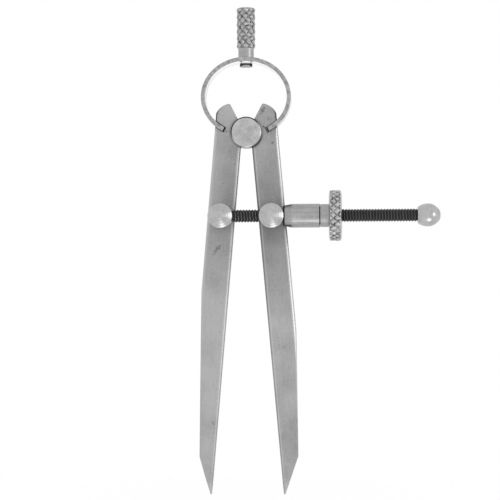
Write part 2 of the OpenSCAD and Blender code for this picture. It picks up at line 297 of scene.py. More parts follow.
def bow_line(angle, out):
    """Point of the bow's oval seen from the front, about the fulcrum: centre plus the half
    axes times cosine and sine, moved `out` along the oval's outward normal."""
    c, s = np.cos(np.radians(angle)), np.sin(np.radians(angle))
    normal = np.stack([bow_half_height * c, bow_half_width * s], axis=-1)
    normal = normal / np.linalg.norm(normal, axis=-1, keepdims=True)
    oval = np.stack([bow_half_width * c, bow_middle + bow_half_height * s], axis=-1)
    return oval + np.asarray(out)[..., None] * normal


def leaned(points, angle):
    """Front-view points turned anticlockwise about the fulcrum by an angle in degrees."""
    c, s = np.cos(np.radians(angle)), np.sin(np.radians(angle))
    return np.stack([c * points[..., 0] - s * points[..., 1],
                     s * points[..., 0] + c * points[..., 1]], axis=-1)


def arc(radius, start, end, steps):
    """Points at a radius about the fulcrum, from one angle in degrees to another."""
    angle = np.radians(np.linspace(start, end, steps))
    return radius * np.stack([np.cos(angle), np.sin(angle)], axis=1)


def head_edge(up):
    """Point a distance up along the head's inner edge: a line `head_gap` right of the fulcrum,
    leaning by `head_angle` from upright."""
    tilt = np.radians(head_angle)
    return np.array((head_gap * np.cos(tilt) + up * np.sin(tilt),
                     up * np.cos(tilt) - head_gap * np.sin(tilt)))


def slot_side(out):
    """One side of the slot in the upright leg, from the leg's outer edge to the slot's end."""
    past_end = np.degrees(slot_gap / bow_half_width)
    angle = np.linspace(bow_end - past_end, bow_end + 30, 200)
    across = leaned(bow_line(angle, np.full(200, out)), -rest_lean)[:, 0]
    mouth = np.interp(leg_outer, across, angle)
    angle = np.linspace(mouth, bow_end - past_end, 9)
    return leaned(bow_line(angle, np.full(9, out)), -rest_lean)


def along_edge(u, v):
    """Points of an edge at heights v, all at u."""
    return np.stack([np.broadcast_to(float(u), len(v)), np.array(v, float)], axis=1)


lower_lip, upper_lip = slot_side(bow_thick / 2 + slot_gap), slot_side(-bow_thick / 2 - slot_gap)[::-1]
notch_low = (leg_gap, -np.sqrt(notch_r ** 2 - leg_gap ** 2))
notch_top = head_edge(np.sqrt(notch_r ** 2 - head_gap ** 2))
notch_angles = [np.degrees(np.arctan2(point[1], point[0])) for point in (notch_top, notch_low)]
head_middle = np.array((leg_outer + head_over - head_r, head_rise))
head_way = head_edge(1.0) - head_edge(0.0)
to_middle = head_middle - head_edge(0.0)
head_reach = head_way @ to_middle
head_tip = head_edge(head_reach + np.sqrt(head_reach ** 2 - to_middle @ to_middle + head_r ** 2))
head_start = np.degrees(np.arccos((leg_outer - head_middle[0]) / head_r))
head_end = np.degrees(np.arctan2(*(head_tip - head_middle)[::-1]) - head_ease / head_r)
head_round = head_middle + arc(head_r, head_start, head_end, 15)
head_corner = eased([head_round[-1], head_tip, notch_top], 0.98 * head_ease, 6)[1:-1]
head_top = np.concatenate([head_round, head_corner])
post_place = np.array((leg_gap + leg_width / 2, -post_drop))


def inward(outline, arriving, leaving):
    """Move from each outline corner to the bevel's shoulder: along the arriving edge by
    (w1 cos q - w2) / sin q and across it by w1, for edge widths w1 and w2 and turn q."""
    edge = np.roll(outline, -1, axis=0) - outline
    after = edge / np.linalg.norm(edge, axis=1, keepdims=True)
    before = np.roll(after, 1, axis=0)
    sine = before[:, 0] * after[:, 1] - before[:, 1] * after[:, 0]
    cosine = (before * after).sum(axis=1)
    straight = np.abs(sine) < 0.02
    along = (arriving * cosine - leaving) / np.where(straight, 1, sine)
    along = np.where(straight, 0, along)
    across = np.where(straight, (arriving + leaving) / 2, arriving)
    normal = np.stack([-before[:, 1], before[:, 0]], axis=1)
    return along[:, None] * before + across[:, None] * normal


def leg_mesh(taper_length, point_width, slot_shade, inner_rub_and_light, outer_rub_and_light):
    """An upright leg. Its outline is a list of runs, each with the width of the rounded edge,
    the share of painted shade and how the edge is rubbed and lit: the brightness of its painted
    highlight, the share of its width where a painted dark line starts, and the strength of that
    line. Rings of points lead from the front face over that edge, turned by `edge_turn` in
    steps, to the back, and the faces are triangles between the first or last ring and the
    shank's hole. The third argument is the width of the edge at the slot's end that painted shade
    darkens, and the fourth is given at the head and at the point. Returns front-view points,
    depths, faces and marks."""
    thin_at = thin_length - leg_length
    point_knee = (leg_gap + point_width, point_length - leg_length)
    taper_knee = (leg_outer, point_length + taper_length - leg_length)
    taper_third = np.array(taper_knee) * 0.7 + np.array(point_knee) * 0.3
    point_heights = np.array((0.0, 0.6, 1.6, 2.8, thin_length, 7.0, point_length))
    point_across = leg_gap + tip_width + (point_width - tip_width) * point_heights / point_length
    point_edge = np.stack([point_across, point_heights - leg_length], axis=1)
    inner_heights = [notch_low[1], -4.6, -20, -53, -89, -93, thin_at, -97.2, -98.4, -99.4, -100]
    at_point = np.interp(inner_heights, [-80, -30], [1, 0])[:, None]
    inner_fade = np.array([0, 1, 1, 1, 1, 1, 0.9, 0.6, 0.3, 0, 0])[:, None]
    inner_edge = inner_fade * ((1 - at_point) * inner_rub_and_light[0] + at_point * inner_rub_and_light[1])
    taper_edge = np.array([0, 0.3, 1])[:, None] * outer_rub_and_light
    plain = (0.0, 1.0, 0.0)
    # Runs: points, edge widths, the share of painted shade (in the slot and along the head's edge beside
    # the bow), and the edge's painted highlight and dark line.
    runs = [
        (along_edge(leg_gap, inner_heights),
         [0.06, 0.95, 0.95, 0.9, 0.68, 0.64, 0.56, 0.42, 0.28, 0.15, 0.08], 0, inner_edge),
        (np.array([(leg_gap, -leg_length), (leg_gap + tip_width, -leg_length)]), [0.05, 0.05], 0, plain),
        (point_edge, [0.08, 0.09, 0.1, 0.12, 0.14, 0.16, 0.16], 0, plain),
        (np.array([point_knee, taper_third, taper_knee]), [0.16, 0.3, 0.95], 0, taper_edge),
        (np.array([taper_knee, (leg_outer, -2.4), (leg_outer, 0.2), lower_lip[0]]),
         [0.95, 0.95, 0.5, 0.2], [0, 0, 0, 0.1], outer_rub_and_light),
        (lower_lip, [0.14] * 9, 0.1, plain),
        (np.array([lower_lip[-1], upper_lip[0]]), [slot_shade, slot_shade], 1, plain),
        (upper_lip, [0.3] * 9, 1, plain),
        (np.array([upper_lip[-1], head_round[0]]), [0.42, 0.5], 1, plain),
        (head_top, np.linspace(0.5, 0.2, len(head_top)),
         np.clip(np.linspace(1, -2.2, len(head_top)), 0, 1), plain),
        (np.array([head_top[-1], notch_top]), [0.2, 0.2], 0, plain),
        (arc(notch_r, *notch_angles, 26), [0.06] * 26, 0, plain),
    ]
    outline = np.concatenate([run[0][:-1] for run in runs])
    leaving = np.concatenate([run[1][:-1] for run in runs])
    arriving = np.concatenate([[runs[i - 1][1][-1]] + list(runs[i][1][1:-1]) for i in range(len(runs))])
    shade_share = np.concatenate([np.broadcast_to(run[2], len(run[0]))[:-1] for run in runs])
    shine, line_start, line = np.concatenate(
        [np.broadcast_to(run[3], (len(run[0]), 3))[:-1] for run in runs]).T

    edge_round = np.radians(np.linspace(0, edge_turn, 11))
    edge_out = (np.sin(edge_round) / np.sin(edge_round[-1]))[:, None]
    edge_down = ((1 - np.cos(edge_round)) / (1 - np.cos(edge_round[-1])))[:, None]
    rings = outline + (1 - edge_out)[..., None] * inward(outline, arriving, leaving)
    half_thick = np.interp(rings[..., 1], [-leg_length, thin_at], [tip_thick / 2, leg_thick / 2])
    edge_depth = np.minimum(np.tan(edge_round[-1] / 2) * (arriving + leaving) / 2, 0.45 * half_thick)
    depth = half_thick - edge_down * edge_depth
    # Painted highlight on the rounded edge where it would catch the lamps, on top of rubbed wear, and
    # painted shade: the dark line beyond it and the shade in the slot.
    unlined = line_start > 0.99
    polish_and_highlight = shine * (1 - shade_share) * np.clip(edge_out / np.where(unlined, 0.9, 0.25), 0, 1)
    polish_and_highlight = polish_and_highlight * np.where(unlined, 1, np.clip((line_start - edge_out) / 0.2, 0, 1))
    edge_shading = np.maximum(np.sqrt(edge_out) * shade_share, np.clip((edge_out - line_start) / 0.15, 0, 1) * line)
    rings, depth, polish_and_highlight, edge_shading = (np.concatenate(both) for both in (
        (rings, rings[::-1]), (-depth, depth[::-1]), (polish_and_highlight, polish_and_highlight[::-1]), (edge_shading, edge_shading[::-1])))

    count = len(outline)
    hole = post_place + arc(shank_hole_r, 0, 360, hole_steps + 1)[:-1]
    cap = np.concatenate([rings[0], hole])
    cap_edges = [(i, (i + 1) % count) for i in range(count)]
    cap_edges += [(count + i, count + (i + 1) % hole_steps) for i in range(hole_steps)]
    cap_edges.append(tuple(int(i) for i in np.where(np.abs(outline[:, 1] - thin_at) < 1e-6)[0]))
    cut = delaunay_2d_cdt([Vector(point) for point in cap], cap_edges, [], 1, 1e-7)
    cap_faces = np.array([[cut[3][corner][0] for corner in face] for face in cut[2]])
    solid = np.linalg.norm(cap[cap_faces].mean(axis=1) - post_place, axis=1) > shank_hole_r - 0.01
    hole_first = rings.shape[0] * count
    order = np.arange(len(cap))
    front = np.where(order < count, order, order + hole_first - count)
    back = np.where(order < count, order + hole_first - count, order + hole_first - count + hole_steps)
    wall = np.arange(hole_first, hole_first + 2 * hole_steps).reshape(2, hole_steps)
    turned_wall = np.roll(wall, -1, axis=1)
    faces = ring_faces(rings) + front[cap_faces[solid]].tolist() + back[cap_faces[solid]].tolist()
    faces += np.stack([wall[0], turned_wall[0], turned_wall[1], wall[1]], axis=1).tolist()
    flat = np.concatenate([rings.reshape(-1, 2), hole, hole])
    depth = np.concatenate([depth.ravel(), np.repeat([-leg_thick / 2, leg_thick / 2], hole_steps)])
    unmarked = np.zeros(2 * hole_steps)
    marks = {"edge_painted_shade": np.concatenate([edge_shading.ravel(), unmarked]),
             "edge_polish_and_highlight": np.concatenate([polish_and_highlight.ravel(), unmarked])}
    return flat, depth, faces, marks


# Smudges on the front faces: place across and up, size and strength.
leg_marks = [
    ((4.5, -23.0), 0.8, 0.55), ((5.0, -22.2), 0.6, 0.5), ((4.0, -23.8), 0.6, 0.4),
    ((4.8, -27.3), 0.4, 0.8), ((5.25, -27.7), 0.4, 0.85), ((7.3, -31.9), 0.5, 0.5),
    ((6.2, -25.3), 0.9, 0.22), ((-6.1, -28.5), 0.35, 0.4), ((-5.6, -28.6), 0.35, 0.5),
    ((-5.0, -28.6), 0.35, 0.5),
    ((-8.0, -60.9), 0.9, 0.4), ((-7.4, -60.2), 0.55, 0.45), ((-8.6, -61.7), 0.8, 0.35),
    ((-9.2, -62.6), 0.7, 0.2), ((-9.5, -108.9), 0.8, 0.25),
    ((-8.8, -28.2), 0.6, 0.35), ((5.9, -50.9), 0.5, 0.3), ((10.2, -88.0), 0.6, 0.25),
]
# Wide painted shadows around the posts, where the posts, screw and sleeve shade the legs: place across
# and up, and strength.
post_shadows = [(-6.6, -49.0, 0.1), (6.6, -49.0, 0.2), (-7.5, -63.0, 0.1), (8.0, -61.0, 0.2)]


def leg_finish(name):
    """Satin ground steel: cloudy tone, fine grain along the leg, specks and pits, and edges rubbed
    bright, with a painted highlight. Painted shade darkens it around the posts and the spool, and
    painted light makes the legs lighter in their lower half."""
    material, nodes, place = new_finish(name)
    shade_share = nodes.node("ShaderNodeAttribute", {"attribute_name": "edge_painted_shade"}, output="Fac")
    polish_and_highlight = nodes.node("ShaderNodeAttribute", {"attribute_name": "edge_polish_and_highlight"}, output="Fac")
    aside = nodes.node("ShaderNodeSeparateXYZ", None, {0: place}, output="X")
    height = nodes.node("ShaderNodeSeparateXYZ", None, {0: place}, output="Z")
    cloud = nodes.noise(place, 7 * mm, 5.0)
    drawn = nodes.vector("MULTIPLY", place, (1.0, 1.0, 0.12))
    grain = nodes.noise(drawn, 0.5 * mm, 4.0)
    fine = nodes.noise(place, 0.45 * mm, 3.0)
    light_specks = nodes.noise(place, 0.6 * mm, 1.0).step(0.69, 0.77)
    specks = nodes.noise(nodes.vector("ADD", place, (0.03, 0.05, 0.02)), 0.6 * mm, 1.0).step(0.69, 0.77)
    tone = 0.72 + (cloud - 0.5) * 1.2 + (grain - 0.5) * 0.5 + (fine - 0.5) * 0.5 + light_specks * 0.5
    # Painted shade and light in the tone: the right leg is darker, most of all above z -50 mm, where the
    # sleeve and nut shade it; the legs are lighter below z -70 mm, where the low lamp lights them, and
    # darker again below z -95 mm; the heads above z -30 mm are lighter; and the inner half of the left
    # leg is darker around its post.
    tone = tone - aside.step(-3 * mm, 3 * mm) * (0.14 + height.step(-80 * mm, -50 * mm) * 0.12)
    tone = tone + height.step(-70 * mm, -84 * mm) * 0.24 - height.step(-95 * mm, -112 * mm) * 0.27
    tone = tone + height.step(-30 * mm, -27 * mm) * 0.16
    left_inside = aside.step(-9.5 * mm, -4.5 * mm) - aside.step(-1 * mm, 0.0)
    middle = height.step(-72 * mm, -60 * mm) * (1.0 - height.step(-34 * mm, -29 * mm))
    tone = tone - left_inside * middle * 0.4
    steel = tone.blend(grey(0.26), grey(0.44))
    dark = specks * 0.28
    for (x, z), size, strength in leg_marks:
        away = nodes.vector("DISTANCE", place, tuple(np.array((x, -1.5, z)) * mm), output="Value")
        away = away + (fine - 0.5) * (1.5 * size * mm)
        dark = dark.math("MAXIMUM", dark, (1.0 - away.step(0.2 * size * mm, size * mm)) * strength)
    # Painted shadows of the posts, screw and sleeve on the legs.
    for x, z, strength in post_shadows:
        off = nodes.vector("SUBTRACT", place, tuple(np.array((x, 0.0, z)) * mm))
        away = nodes.vector("LENGTH", nodes.vector("MULTIPLY", off, (1.0, 0.0, 0.62)), output="Value")
        dark = dark + (1.0 - away.step(2.0 * mm, 9.0 * mm)) * strength
    # Painted shade on the legs around the disc, strongest below it to the right.
    off = nodes.vector("MULTIPLY", nodes.vector("SUBTRACT", place, tuple(fulcrum * mm)), (1.0, 0.0, 1.0))
    away = nodes.vector("LENGTH", off, output="Value")
    below = nodes.vector("DOT_PRODUCT", off, (0.62, 0.0, -0.78), output="Value") / away
    near_disc = 1.0 - away.step((disc_r + 0.15) * mm, (disc_r + 0.75) * mm)
    disc_shadow = near_disc * (0.22 + below.step(0.6, 0.95) * 0.6)
    dark = dark.math("MAXIMUM", dark.math("MAXIMUM", dark, disc_shadow), shade_share * 0.96)
    colour = dark.blend(polish_and_highlight.blend(steel, grey(0.55)), grey(0.04))
    rough = 0.46 + (cloud - 0.5) * 0.12 + specks * 0.15 - polish_and_highlight * 0.28
    steel_surface(nodes, colour, rough, fine * 0.6 + grain * 0.4 - specks * 0.4, 0.006)
    return material


leg_steel = leg_finish("leg_steel_finish")
# Painted highlight and painted dark line on the legs' edges: brightness, share where the line starts, and
# its strength.
inner_rubs_and_lights = {"left_leg": np.array([(0.3, 0.95, 0.0), (0.18, 0.6, 0.2)]),
              "right_leg": np.array([(0.6, 0.5, 0.36), (0.8, 0.5, 0.12)])}
outer_rubs_and_lights = {"left_leg": np.array((0.8, 1.0, 0.0)), "right_leg": np.array((0.6, 0.98, 0.0))}
for leg, side in legs.items():
    flat, depth, faces, marks = leg_mesh(*tapers[leg], slot_shades[leg], inner_rubs_and_lights[leg], outer_rubs_and_lights[leg])
    front = leaned(flat, rest_lean)
    points = np.stack([side * front[:, 0], depth, front[:, 1]], axis=1) + fulcrum
    piece = steel_piece("ground_" + leg, points, faces, marks)
    piece.data.materials.append(leg_steel)
    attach(piece, leg)
    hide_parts(leg)

# Bow. One flat strip of spring steel is bent round into an oval, and its ends sit in the slots
# of the legs. It is made here as two halves that meet under the handle.
strip_width = bow_high[1] - bow_low[1]
strip_ease, bow_steps, bend_top, bend_foot = 0.22, 72, 2.0, 2.4
strip_section = eased([
    (bow_thick / 2, 0), (bow_thick / 2, strip_width / 2), (-bow_thick / 2, strip_width / 2),
    (-bow_thick / 2, -strip_width / 2), (bow_thick / 2, -strip_width / 2), (bow_thick / 2, 0),
], strip_ease)[:-1]
bow_angles = np.concatenate([[bow_end], np.linspace(bow_end, 90, bow_steps), [90]])
section_size = np.ones(len(bow_angles))
section_size[[0, -1]] = 0
spread = section_size[:, None] * strip_section[:, 0]
bow_front = bow_line(np.broadcast_to(bow_angles[:, None], spread.shape), spread)
bow_depth = section_size[:, None] * strip_section[:, 1]
bow_run = np.broadcast_to(np.radians(bow_angles)[:, None] * bow_half_width, spread.shape)
bow_outside = np.broadcast_to(strip_section[:, 0] > 0, spread.shape).astype(float)


def bow_finish(name):
    """Spring steel strip: rolled faces with fine lines along the strip, the inner one painted
    brighter towards the top as a painted reflection, and duller cut edges with a cloudy tone and
    dark flecks."""
    material, nodes, place = new_finish(name)
    run = nodes.node("ShaderNodeAttribute", {"attribute_name": "strip_run"}, output="Fac")
    depth = nodes.node("ShaderNodeSeparateXYZ", None, {0: place}, output="Y")
    lines = nodes.node("ShaderNodeCombineXYZ", None, {"X": depth / (0.25 * mm), "Y": run * 0.25})
    rolled = nodes.noise(lines, 1.0, 3.0, "2D")
    cloud = nodes.noise(place, 1.0 * mm, 4.0)
    flecks = nodes.noise(place, 0.55 * mm, 2.0).step(0.56, 0.70)
    edge = depth.math("ABSOLUTE", depth).step((strip_width / 2 - 0.2) * mm, (strip_width / 2 - 0.04) * mm)
    tone = 0.5 + (cloud - 0.5) * 2.2 + (rolled - 0.5) * 0.4
    outside = nodes.node("ShaderNodeAttribute", {"attribute_name": "outside"}, output="Fac")
    face_tone = 0.5 + (cloud - 0.5) * 0.9 + (rolled - 0.5) * 1.8
    sides, top = face_tone.blend(grey(0.56), grey(0.7)), face_tone.blend(grey(0.83), grey(0.93))
    # Painted reflection: the inner face is near white towards the top of the bow.
    inner = run.step(0.0, 9.5).blend(sides, top)
    face = outside.blend(inner, face_tone.blend(grey(0.42), grey(0.6)))
    cut = tone.blend(grey(0.25), grey(0.48))
    cut = (flecks * 0.45).blend(cut, grey(0.11))
    rough = 0.2 + edge * 0.18 + (cloud - 0.5) * 0.12
    steel_surface(nodes, edge.blend(face, cut), rough, rolled * 0.5 + cloud * 0.5, 0.006)
    return material


bow_steel = bow_finish("bow_steel_finish")
for leg, side in legs.items():
    grid = np.stack([side * bow_front[..., 0], bow_depth, bow_front[..., 1]], axis=-1) + fulcrum
    marks = {"strip_run": bow_run, "outside": bow_outside}
    piece = steel_piece("bow_half_" + leg, grid, ring_faces(grid), marks)
    piece.data.materials.append(bow_steel)
    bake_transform(piece)
    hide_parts("bow_spring")

# Handle. It is turned from bar, with a diamond knurl rolled into the grip. The tenon below its
# neck goes through the top of the bow and is riveted over inside.
grip_r, grip_length, grip_bevel, grip_round = 2.6, 11.2, 0.35, 0.75
neck_r, tenon_r, tenon_stub = 2.15, 1.75, 1.4
grip_around, grip_pitch, grip_cut = 8, 1.98, 0.36
groove_share, groove_end, knurl_steps, rim_steps, rim_land = 0.9, 0.25, 16, 9, 0.05


def knurl(turn, along, around, pitch, share, depth):
    """Depth of a diamond knurl. Two sets of V grooves run at around * turn / 2 pi + along / pitch
    and around * turn / 2 pi - along / pitch, deepest at whole numbers and `share` of the
    spacing wide. The deeper of the two counts. Slow waves over both directions shift the
    grooves and change their depth, as an uneven roll does."""
    shift = 0.035 * np.sin(3 * turn + 2.1 * along) + 0.03 * np.sin(7 * turn - 1.3 * along + 1.0)
    worn = 0.82 + 0.18 * np.sin(5 * turn + 3.7 * along + 0.5) * np.sin(2 * turn - 2.3 * along)
    count = around * turn / (2 * np.pi) + shift
    lines = np.stack([count + along / pitch, count - along / pitch + 2 * shift])
    nearest = np.abs(lines - np.round(lines)).min(axis=0) * 2
    return depth * worn * np.clip(1 - nearest / share, 0, 1)


def knurled_band(start, end, radius, start_rim, end_rim, around, pitch, share, cut, plain=0.0):
    """Rows of a knurled cylinder with rounded rims: along, radius for every turn step and
    groove depth. A rim is a quarter of an oval, given by its length along the axis and by
    how far it falls. The radius is the smaller of the rim's and the knurl's. The grooves run
    out `plain` from the end and half that from the start."""
    (start_length, start_fall), (end_length, end_fall) = start_rim, end_rim
    rows = int(round((end - start) / pitch * knurl_steps))
    turned_in = 1 - np.cos(np.radians(np.linspace(0, 90, rim_steps)))
    along = np.concatenate([start + start_length * turned_in[:-1],
                            np.linspace(start + start_length, end - end_length, rows),
                            end - end_length * turned_in[::-1][1:]])
    turn = np.linspace(0, 2 * np.pi, around * knurl_steps, endpoint=False)
    runs_out = np.minimum(end - plain - along, along - start - plain / 2) / groove_end
    cutting = knurl(turn[None, :], along[:, None], around, pitch, share, cut)
    cutting = cutting * np.clip(runs_out, 0, 1)[:, None]
    past_start = (start + start_length - along) / start_length
    past_end = (along - end + end_length) / end_length
    past = np.clip(np.maximum(past_start, past_end), 0, 1)
    fall = np.where(along < (start + end) / 2, start_fall, end_fall)
    rim = radius - fall * (1 - np.sqrt(np.clip(1 - past ** 2, 0, 1)))
    surface = np.minimum(rim[:, None], radius - cutting)
    return along, surface, np.where(rim[:, None] < radius - cutting, 0, cutting / cut)


def with_rows(before, band, after, steps):
    """A turned surface's rows: a plain profile, a knurled band, and another plain profile."""
    along = np.concatenate([before[:, 0], band[0], after[:, 0]])
    plain = [np.repeat(profile[:, 1:2], steps, axis=1) for profile in (before, after)]
    radius = np.concatenate([plain[0], band[1], plain[1]])
    groove = np.concatenate([np.zeros(plain[0].shape), band[2], np.zeros(plain[1].shape)])
    return along, radius, groove


def knurled_finish(name, centre, axis, plain_r, painted_bright_run, crest_level, painted_shade):
    """Knurled steel: bright crests, grooves darkened by painted shade, and tool rings on the plain
    parts, which lie within `plain_r` of the axis and are painted near white, as a painted
    reflection, from one place to another along it. The last argument gives where painted shade
    darkens the steel."""
    material, nodes, place = new_finish(name)
    groove = nodes.node("ShaderNodeAttribute", {"attribute_name": "groove"}, output="Fac")
    off = nodes.vector("SUBTRACT", place, tuple(np.array(centre) * mm))
    along = nodes.vector("DOT_PRODUCT", off, tuple(axis), output="Value")
    across = nodes.vector("LENGTH", nodes.vector("CROSS_PRODUCT", off, tuple(axis)), output="Value")
    rings = nodes.noise(across + along, 0.3 * mm, 3.0, "1D")
    cloud = nodes.noise(place, 1.2 * mm, 4.0)
    fine = nodes.noise(place, 0.35 * mm, 3.0)
    tone = 0.5 + (cloud - 0.5) * 1.2 + (rings - 0.5) * 1.0 + (fine - 0.5) * 0.8
    # Painted reflection: the plain part is near white over this run.
    bright = along.step((painted_bright_run[0] - 0.1) * mm, painted_bright_run[0] * mm)
    bright = bright - along.step((painted_bright_run[1] - 0.05) * mm, painted_bright_run[1] * mm)
    plain = bright.blend(tone.blend(grey(0.29), grey(0.45)), grey(0.9))
    crests = tone.blend(grey(0.72 * crest_level), grey(1.28 * crest_level))
    knurled = across.step(plain_r * mm, (plain_r + 0.05) * mm)
    steel = knurled.blend(plain, crests)
    # Painted shade in the grooves of the knurl.
    worn = groove.step(0.29, 0.96) * (0.95 + (cloud - 0.5) * 1.6)
    colour = worn.blend(steel, grey(0.05))
    colour = painted_shade(nodes, off, along, across).blend(colour, grey(0.02))
    rough = 0.38 - knurled * 0.1 + (cloud - 0.5) * 0.2 + groove * 0.1
    steel_surface(nodes, colour, rough, rings * 0.4 + cloud * 0.3 + fine * 0.3, 0.008)
    return material


def shaded_tenon(nodes, off, along, across):
    """Painted shade on the tenon's riveted end, under the bow: a band above its lower rim, which
    reaches further down at the two sides."""
    aside = nodes.node("ShaderNodeSeparateXYZ", None, {0: off}, output="X") / (tenon_r * mm)
    lower = along + aside * aside * (0.4 * mm)
    band = lower.step((stub_end + 0.34) * mm, (stub_end + 0.5) * mm)
    return band * (1.0 - along.step((stub_end + 0.9) * mm, (stub_end + 1.0) * mm)) * 0.95


grip_top, grip_foot = grip_length / 2, -grip_length / 2
bow_crown = fulcrum[2] + bow_top
stub_end = bow_crown - bow_thick - tenon_stub
neck_foot = bow_crown - bow_thick / 2
grip_band = knurled_band(grip_foot, grip_top, grip_r, (grip_bevel, grip_bevel), (grip_round, grip_round),
                         grip_around, grip_pitch, groove_share, grip_cut)
below_grip = eased([
    (stub_end, 0), (stub_end, tenon_r), (neck_foot, tenon_r), (neck_foot, neck_r),
    (grip_foot, neck_r), (grip_foot, grip_r - grip_bevel),
], [0.18, 0, 0, 0.1])
above_grip = np.array([(grip_top, grip_r - grip_round - 2 * rim_land), (grip_top, 0)])
grip_steps = grip_around * knurl_steps
along, radius, groove = with_rows(below_grip, grip_band, above_grip, grip_steps)
grid = turned(along, radius, np.zeros(3), (0, 0, 1), grip_steps)
handle = steel_piece("knurled_handle", grid, ring_faces(grid), {"groove": groove})
# The tenon below the bow is painted near white as a painted reflection, with painted shade above its rim.
handle.data.materials.append(
    knurled_finish("handle_finish", np.zeros(3), (0.0, 0.0, 1.0), neck_r + 0.03,
                   (stub_end + 0.6, neck_foot), 0.43, shaded_tenon))
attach(handle, "head")
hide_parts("handle")

# Posts and washers. Each post is turned from bright steel with a domed front and swivels in its
# leg. Its shank is riveted over a washer behind the leg, and the screw goes through its cross hole.
post_r, dome_height, shank_r, washer_r, washer_thick = 3.35, 1.2, 2.0, 3.2, 0.8
seat_depth, screw_r, screw_end_r, screw_bite, nose_r = 0.2, 1.75, 1.4, 1.2, 2.75
posts = {side: np.array(joints[side + "_post_swivel"]["pos_m"]) / mm for side in ("left", "right")}
screw_axis = np.array(joints["nut_turn"]["pos_m"]) / mm
screw_line = screw_axis * (0, 1, 1)
post_front = -box_mm("right_post")[0][1]
dome_base = post_front - dome_height
washer_back = spool_face + washer_thick
dome_r = (post_r ** 2 + dome_height ** 2) / (2 * dome_height)
dome_turn = np.linspace(np.arcsin(post_r / dome_r), 0, 24)[:, None]
dome = np.concatenate([post_front - dome_r * (1 - np.cos(dome_turn)), dome_r * np.sin(dome_turn)], axis=1)
post_profile = np.concatenate([eased([
    (-washer_back, 0), (-washer_back, shank_r + rivet_flare), (rivet_flare - washer_back, shank_r),
    (spool_face, shank_r), (spool_face, post_r), (dome_base - rim_land, post_r),
], [0.1, 0, 0, 0.2]), dome])
washer_hole = shank_r + fit_gap
washer_profile = eased([
    (-spool_face, washer_hole), (-spool_face, washer_r), (-washer_back, washer_r),
    (-washer_back, washer_hole + rivet_flare), (rivet_flare - washer_back, washer_hole),
    (-spool_face, washer_hole),
], [0.12, 0.15, 0.05, 0])


def drilled(piece, holes):
    """The piece with round holes along the screw, each given by its radius and its two ends."""
    for radius, start, end in holes:
        drill_profile = np.array([(start, 0), (start, radius), (end, radius), (end, 0)])
        drill = lathe_piece("drill", drill_profile, screw_line, (1, 0, 0), steps=64)
        cutting = piece.modifiers.new("cross_hole", "BOOLEAN")
        cutting.operation, cutting.solver, cutting.object = "DIFFERENCE", "EXACT", drill
        shaped = piece.evaluated_get(bpy.context.evaluated_depsgraph_get())
        mesh = bpy.data.meshes.new_from_object(shaped)
        piece.modifiers.clear()
        piece.data = mesh
        bpy.data.objects.remove(drill)
    piece.data.set_sharp_from_angle(angle=np.radians(32))


seat = post_r - seat_depth
left_x, right_x = posts["left"][0], posts["right"][0]
cross_holes = {
    "left": [(screw_end_r + fit_gap, left_x - screw_bite, left_x + post_r + 1),
             (screw_r + fit_gap, left_x + seat, left_x + post_r + 1)],
    "right": [(screw_r + run_gap, right_x - post_r - 1, right_x + post_r + 1),
              (nose_r + fit_gap, right_x + seat, right_x + post_r + 1)],
}
for side, place in posts.items():
    post_steel = turned_finish(side + "_post_finish", place, to_front, 0.45, 0.23, 0.07, 1.8)
    post = lathe_piece(side + "_domed_post", post_profile, place, to_front)
    drilled(post, cross_holes[side])
    washer = lathe_piece(side + "_post_washer", washer_profile, place, to_front)
    for piece, node in ((post, side + "_post"), (washer, side + "_washer")):
        piece.data.materials.clear()
        piece.data.materials.append(post_steel)
        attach(piece, side + "_swivel")
        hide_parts(node)

# Adjusting screw. A steel rod with a cut right-hand thread of 0.8 mm pitch, blacked. Its plain
# left end is fixed in the left post, and the ball sits on its right end.
thread_pitch, thread_depth, root_share, crest_share = 0.8, 0.24, 0.12, 0.22
thread_length, thread_steps, rows_per_turn, screw_in_ball = 50.6, 40, 18, 4.0
thread_start, thread_end = left_x + seat, left_x + seat + thread_length
screw_left, screw_right = left_x - screw_bite + fit_gap, thread_end + screw_in_ball
thread_rows = int(round(thread_length / thread_pitch * rows_per_turn))
thread_along = np.linspace(thread_start, thread_end, thread_rows)
thread_turn = np.linspace(0, 2 * np.pi, thread_steps, endpoint=False)


def thread_height(along, turn):
    """Height of a right-hand thread, 0 to 1: along / pitch - turn / 2 pi counts the turns, the
    crest lies at whole numbers, with flats at crest and root and straight flanks between."""
    count = along / thread_pitch - turn / (2 * np.pi)
    away = np.abs(count - np.round(count)) * 2
    return np.clip((1 - root_share - away) / (1 - root_share - crest_share), 0, 1)


height = thread_height(thread_along[:, None] - thread_start, thread_turn[None, :])
near_end = np.minimum(thread_along - thread_start, thread_end - thread_along)[:, None]
thread_r = np.minimum(screw_r - thread_depth * (1 - height), screw_end_r + near_end)
left_end = np.array([(screw_left, 0), (screw_left, screw_end_r), (thread_start, screw_end_r)])
right_end = np.array([(thread_end, screw_end_r), (screw_right, screw_end_r), (screw_right, 0)])
along, radius, crest = with_rows(left_end, (thread_along, thread_r, height), right_end, thread_steps)
grid = turned(along, radius, screw_line, (1, 0, 0), thread_steps)
screw = steel_piece("threaded_screw", grid, ring_faces(grid), {"crest": crest}, crisp=60.0)


